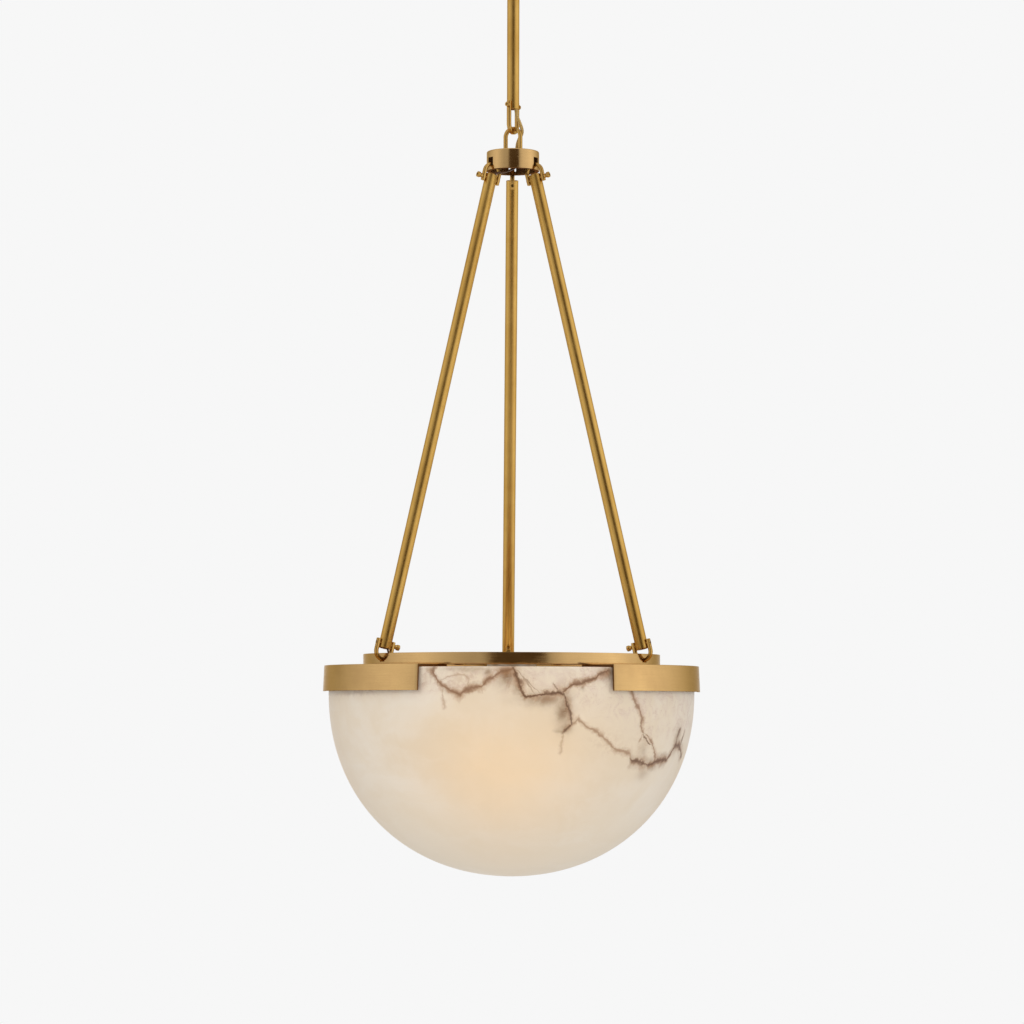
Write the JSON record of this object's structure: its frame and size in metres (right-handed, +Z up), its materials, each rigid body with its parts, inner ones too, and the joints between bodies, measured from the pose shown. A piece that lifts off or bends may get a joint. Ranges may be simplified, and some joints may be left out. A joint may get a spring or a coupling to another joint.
{
  "type": "alabaster bowl pendant light",
  "caption": "Inverted-dome alabaster bowl pendant hung by brass tube arms from a shackled stem, ring, rim brackets and ceiling canopy.",
  "frame": {"origin": "centre of the two ceiling box screws, on the ceiling plane", "axes": "+Z up through the stem; the ceiling is z = 0 and the lamp hangs below it; the front faces -Y; X is left to right along the box screws"},
  "size_m": [0.4576, 0.4506, 1.3266],
  "materials": {
    "brass_satin": "satin antique brass, horizontally brushed",
    "brass_tube": "satin antique gold brass tube",
    "brass_screw": "satin brass fasteners",
    "steel": "zinc plated steel",
    "alabaster": "honed cream alabaster with brown and grey veins",
    "jacket": "gold braided cord jacket",
    "lead": "dark brown lead",
    "opal_glass": "opal lamp glass",
    "holder": "glazed porcelain lampholder, white",
    "lamp_cap": "lamp screw cap",
    "felt": "soft rim pad",
    "fibre": "nylon washer"
  },
  "bodies": {
    "ceiling_set": {"mounting_bar": "steel", "ground_screw": "brass_screw", "canopy_nipple": "steel", "nipple_nut": "steel", "canopy": "brass_satin", "canopy_collar": "brass_satin", "canopy_loop": "brass_satin", "supply_cord": "jacket"},
    "upper_link": {"upper_shackle": "brass_satin", "upper_shackle_bolt": "brass_screw", "upper_shackle_nut": "brass_screw", "upper_cord_bend": "jacket"},
    "stem": {"stem": "brass_tube", "stem_cord": "jacket"},
    "lower_link": {"lower_shackle": "brass_satin", "lower_shackle_bolt": "brass_screw", "lower_shackle_nut": "brass_screw", "lower_cord_bend": "jacket"},
    "fixture": {"hub_loop": "brass_satin", "hub_loop_nuts": "brass_screw", "hub": "brass_satin", "upper_arm_bolts": "brass_screw", "lower_arm_bolts": "brass_screw", "upper_ring": "brass_satin", "bracket_screws": "brass_screw", "bowl": "alabaster", "bowl_washers": "fibre", "bowl_screws": "brass_screw", "lamp_spider": "steel", "spider_screws": "steel", "cluster_body": "steel", "cluster_nipple": "steel", "cluster_nuts": "steel", "bulb_caps": "lamp_cap", "arm_lead": "lead", "left_arm": "brass_tube", "left_hub_shackle": "brass_satin", "left_ring_shackle": "brass_satin", "left_bracket": "brass_satin", "left_rim_pad": "felt", "right_arm": "brass_tube", "right_hub_shackle": "brass_satin", "right_ring_shackle": "brass_satin", "right_bracket": "brass_satin", "right_rim_pad": "felt", "back_arm": "brass_tube", "back_hub_shackle": "brass_satin", "back_ring_shackle": "brass_satin", "back_bracket": "brass_satin", "back_rim_pad": "felt", "lampholder_1": "holder", "bulb_1": "opal_glass", "lampholder_2": "holder", "bulb_2": "opal_glass", "lampholder_3": "holder", "bulb_3": "opal_glass"}
  },
  "joints": [
    {"name": "upper_shackle_swing", "type": "hinge", "parent": "ceiling_set", "child": "upper_link", "pos_m": [0, 0, -0.0618], "axis": [0.866, -0.5, 0], "range_deg": [-30, 30], "deforming": ["upper_cord_bend"]},
    {"name": "stem_swing", "type": "hinge", "parent": "upper_link", "child": "stem", "pos_m": [0, 0, -0.0901], "axis": [0.5, 0.866, 0], "range_deg": [-30, 30]},
    {"name": "lower_shackle_swing", "type": "hinge", "parent": "stem", "child": "lower_link", "pos_m": [0, 0, -0.3859], "axis": [0.5, 0.866, 0], "range_deg": [-30, 30], "deforming": ["lower_cord_bend"]},
    {"name": "fixture_swing", "type": "hinge", "parent": "lower_link", "child": "fixture", "pos_m": [0, 0, -0.4142], "axis": [0.866, -0.5, 0], "range_deg": [-30, 30]}
  ]
}
